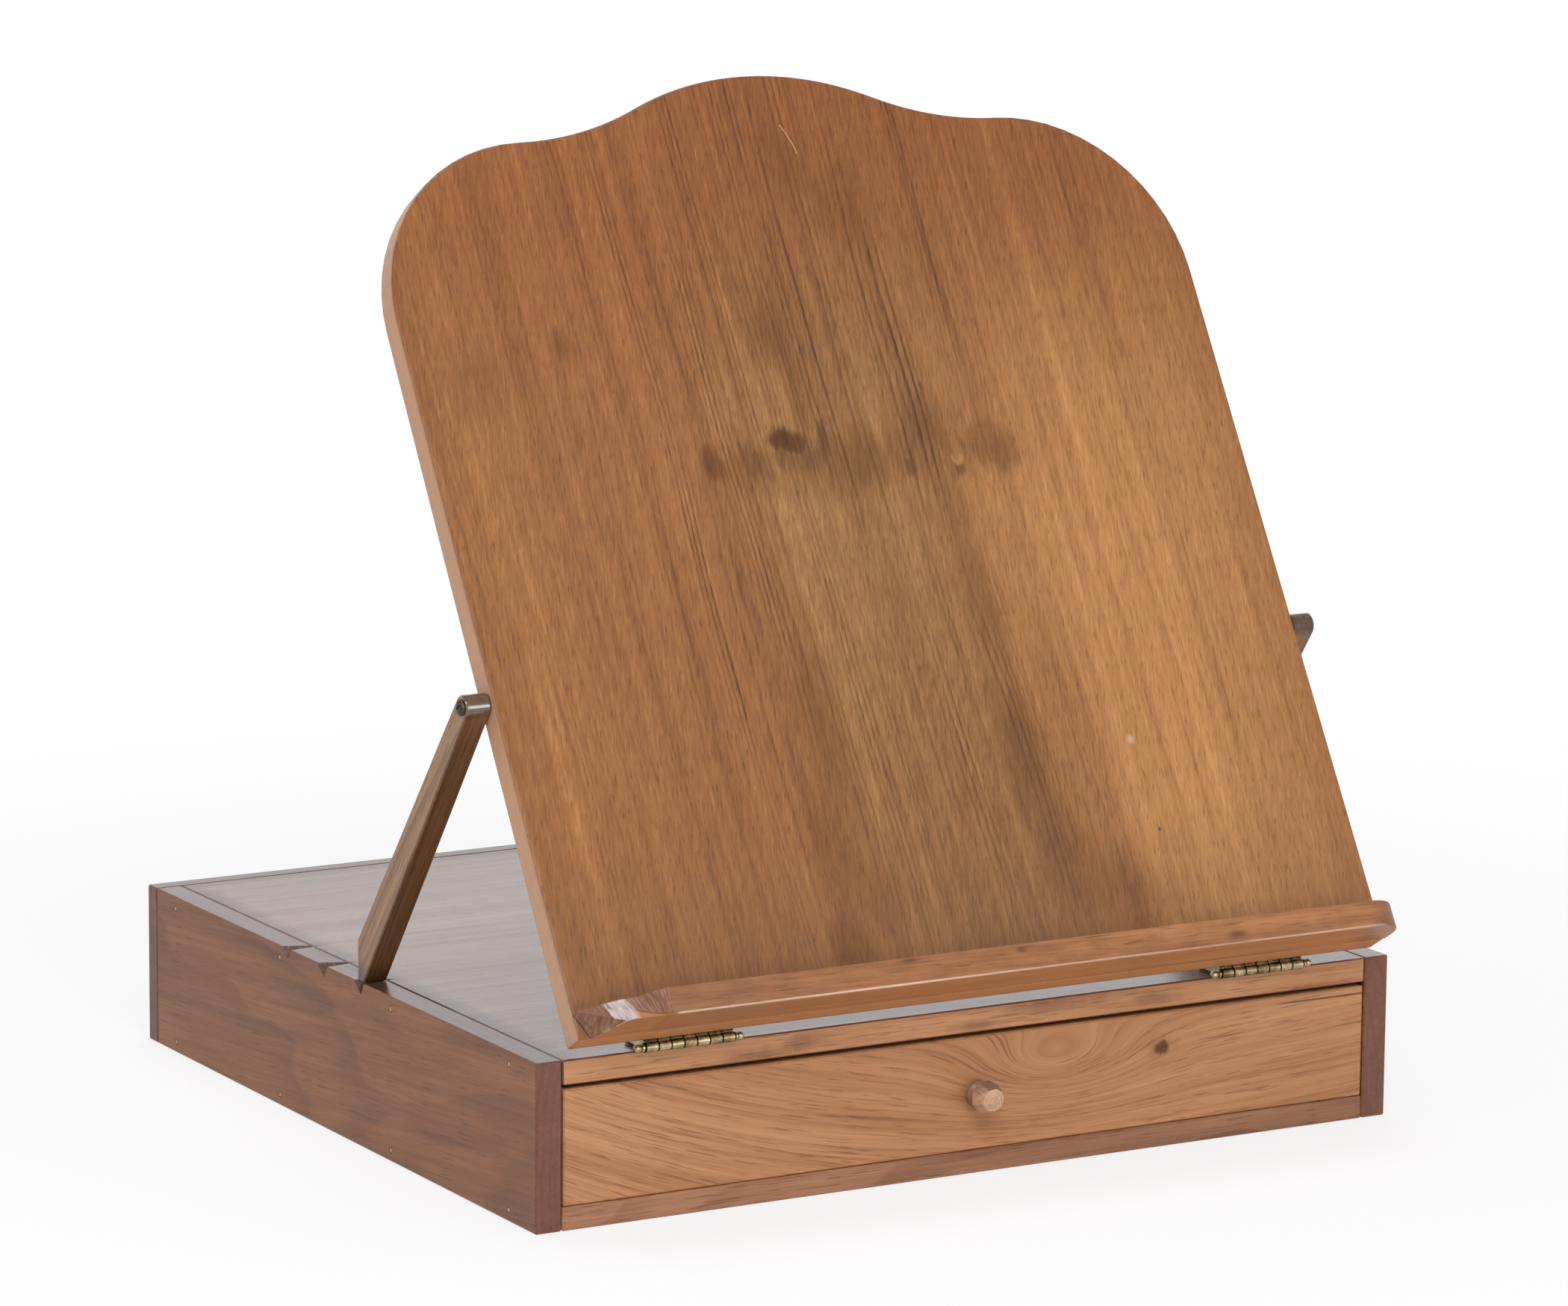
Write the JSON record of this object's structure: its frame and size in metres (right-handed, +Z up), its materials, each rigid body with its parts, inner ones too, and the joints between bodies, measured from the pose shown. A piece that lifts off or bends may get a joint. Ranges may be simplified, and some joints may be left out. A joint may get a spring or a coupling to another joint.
{
  "type": "travel lectern",
  "caption": "Table lectern: a shaped book board with a ledge, hinged to a shallow wooden case with a drawer, propped by folding side struts in notches.",
  "frame": {"origin": "middle of the case's flat underside", "axes": "+Z up, -Y towards the reader, +X to the reader's right"},
  "size_m": [0.4232, 0.412, 0.4463],
  "materials": {
    "case_wood": "old dark brown varnish",
    "panel_wood": "old glossy varnish",
    "board_wood": "old glossy varnish",
    "drawer_wood": "worn satin varnish",
    "strut_wood": "dark satin varnish",
    "brass": "aged brass",
    "steel": "dull dark steel"
  },
  "bodies": {
    "case": {"left_side": "case_wood", "right_side": "case_wood", "top_panel": "panel_wood", "bottom_panel": "panel_wood", "back_panel": "case_wood", "left_hinge_case_leaf": "brass", "right_hinge_case_leaf": "brass", "left_hinge_pin": "brass", "right_hinge_pin": "brass", "case_nail_01": "steel", "case_nail_02": "steel", "case_nail_03": "steel", "case_nail_04": "steel", "case_nail_05": "steel", "case_nail_06": "steel", "case_nail_07": "steel", "case_nail_08": "steel", "case_nail_09": "steel", "case_nail_10": "steel", "case_nail_11": "steel", "case_nail_12": "steel", "case_nail_13": "steel", "case_nail_14": "steel", "case_nail_15": "steel", "case_nail_16": "steel", "case_nail_17": "steel", "case_nail_18": "steel", "case_nail_19": "steel", "case_nail_20": "steel", "case_leaf_screw_01": "brass", "case_leaf_screw_02": "brass", "case_leaf_screw_03": "brass", "case_leaf_screw_04": "brass", "case_leaf_screw_05": "brass", "case_leaf_screw_06": "brass"},
    "board": {"book_board": "board_wood", "book_ledge": "board_wood", "left_hinge_board_leaf": "brass", "right_hinge_board_leaf": "brass", "left_strut_screw": "steel", "right_strut_screw": "steel", "board_leaf_screw_01": "brass", "board_leaf_screw_02": "brass", "board_leaf_screw_03": "brass", "board_leaf_screw_04": "brass", "board_leaf_screw_05": "brass", "board_leaf_screw_06": "brass"},
    "left_prop": {"left_strut": "strut_wood"},
    "right_prop": {"right_strut": "strut_wood"},
    "drawer": {"drawer_front": "drawer_wood", "drawer_left_side": "drawer_wood", "drawer_right_side": "drawer_wood", "drawer_back": "drawer_wood", "drawer_bottom": "drawer_wood", "drawer_knob": "drawer_wood"}
  },
  "joints": [
    {"name": "board_fold", "type": "hinge", "parent": "case", "child": "board", "pos_m": [0, -0.1924, 0.074], "axis": [1, 0, 0], "range_deg": [-59.15, 0]},
    {"name": "left_prop_fold", "type": "hinge", "parent": "board", "child": "left_prop", "pos_m": [-0.2041, -0.12189, 0.20765], "axis": [1, 0, 0], "range_deg": [0, 113.3]},
    {"name": "right_prop_fold", "type": "hinge", "parent": "board", "child": "right_prop", "pos_m": [0.2041, -0.12189, 0.20765], "axis": [1, 0, 0], "range_deg": [0, 113.3]},
    {"name": "drawer_slide", "type": "slide", "parent": "case", "child": "drawer", "axis": [0, -1, 0], "range_m": [0, 0.26]}
  ],
  "couplings": [
    {"joint": "left_prop_fold", "follows": "board_fold", "ratio": -1.9154},
    {"joint": "right_prop_fold", "follows": "board_fold", "ratio": -1.9154}
  ]
}
